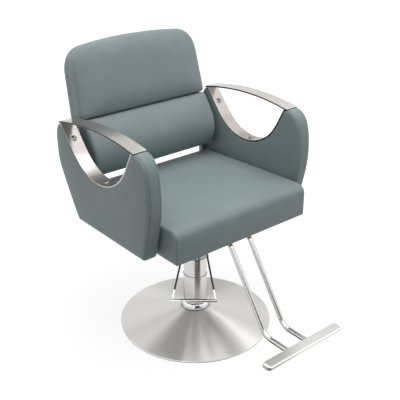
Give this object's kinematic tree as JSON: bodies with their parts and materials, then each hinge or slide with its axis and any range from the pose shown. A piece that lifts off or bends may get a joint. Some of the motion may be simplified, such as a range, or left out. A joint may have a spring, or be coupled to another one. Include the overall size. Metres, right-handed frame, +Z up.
{
  "type": "hydraulic salon chair",
  "caption": "Upholstered salon chair with curved steel-trimmed arms and a two-part back, on a pedal-pumped hydraulic column over a round spun steel base, with a T-shaped footrest.",
  "frame": {"origin": "on the floor, under the column's axis: the middle of the base's underside", "axes": "+Z up along the column; the sitter faces -Y, so the footrest points to -Y and the back is at +Y; +X is the sitter's left"},
  "size_m": [0.64, 0.8861, 0.9305],
  "materials": {
    "leather": "grey-green upholstery vinyl with a fine leather grain, semi-matte",
    "wrapped_post": "hardwood post wrapped in the same grey-green vinyl",
    "spun_steel": "stainless steel, spun with fine rings",
    "brushed_cover": "stainless steel tube, brushed round",
    "satin_trim": "stainless steel strip, brushed lengthwise",
    "brushed_bar": "stainless steel, satin, brushed lengthwise",
    "satin_head": "machined head, satin nickel",
    "machined_steel": "ground and turned steel",
    "hidden_steel": "steel, black powder coat or black zinc",
    "chrome": "polished chrome",
    "ballast": "black painted steel ballast disc",
    "bronze": "oiled bearing bronze",
    "rubber": "black rubber",
    "black_plastic": "black plastic sleeve",
    "dust_cloth": "black non-woven dust cloth",
    "plywood": "birch plywood, unfinished"
  },
  "bodies": {
    "base": {"floor_pad": "rubber", "base_plate": "ballast", "base_shell": "spun_steel", "guide_tube": "machined_steel", "flange_bolts": "hidden_steel", "guide_bush": "bronze", "piston_rod": "machined_steel", "piston_seal": "rubber", "collar_gasket": "rubber", "collar_ring": "chrome", "lower_cover": "brushed_cover"},
    "pump": {"pump_cylinder": "machined_steel", "cylinder_gland": "bronze", "upper_cover": "brushed_cover", "cover_gasket": "rubber", "pump_head": "satin_head", "spindle": "machined_steel", "thrust_washer": "bronze", "pivot_pin": "machined_steel"},
    "plunger": {"pump_plunger": "machined_steel"},
    "pedal": {"pedal_yoke": "chrome", "pedal_stirrup": "chrome", "pedal_sleeves": "black_plastic"},
    "seat": {"swivel_socket": "hidden_steel", "mount_plate": "hidden_steel", "mount_bolts": "hidden_steel", "seat_frame": "plywood", "cross_rails": "plywood", "seat_board": "plywood", "seat_cushion": "leather", "dust_cover": "dust_cloth", "footrest_plate": "hidden_steel", "footrest_tubes": "chrome", "footrest_bar": "brushed_bar", "footrest_caps": "brushed_bar", "arm_core_left": "plywood", "arm_core_right": "plywood", "arm_band_left": "leather", "arm_band_right": "leather", "arm_outer_pad_left": "leather", "arm_outer_pad_right": "leather", "arm_inner_pad_left": "leather", "arm_inner_pad_right": "leather", "armrest_strip_left": "satin_trim", "armrest_strip_right": "satin_trim", "arm_hoop_left": "satin_trim", "arm_hoop_right": "satin_trim", "hoop_screws": "chrome", "arm_bolts": "hidden_steel", "back_upright_left": "wrapped_post", "back_upright_right": "wrapped_post", "back_dowels": "hidden_steel", "lumbar_board": "plywood", "lumbar_pad": "leather", "upper_board": "plywood", "upper_pad": "leather", "back_straps": "hidden_steel", "wood_screws": "hidden_steel", "lumbar_rear_panel": "leather", "upper_rear_panel": "leather"}
  },
  "joints": [
    {"name": "lift", "type": "slide", "parent": "base", "child": "pump", "axis": [0, 0, 1], "range_m": [0, 0.15]},
    {"name": "swivel", "type": "hinge", "parent": "pump", "child": "seat", "pos_m": [0, 0, 0.325], "axis": [0, 0, 1], "continuous": true},
    {"name": "pedal_press", "type": "hinge", "parent": "pump", "child": "pedal", "pos_m": [-0.02362, -0.02717, 0.3], "axis": [0.7547, -0.6561, 0], "range_deg": [-8, 22], "stiffness_Nm_per_rad": 8, "springref_deg": -3.44},
    {"name": "plunger_stroke", "type": "slide", "parent": "pump", "child": "plunger", "axis": [0, 0, 1], "range_m": [-0.0075, 0.003]}
  ],
  "couplings": [
    {"joint": "plunger_stroke", "follows": "pedal_press", "m_per_rad": -0.019}
  ]
}
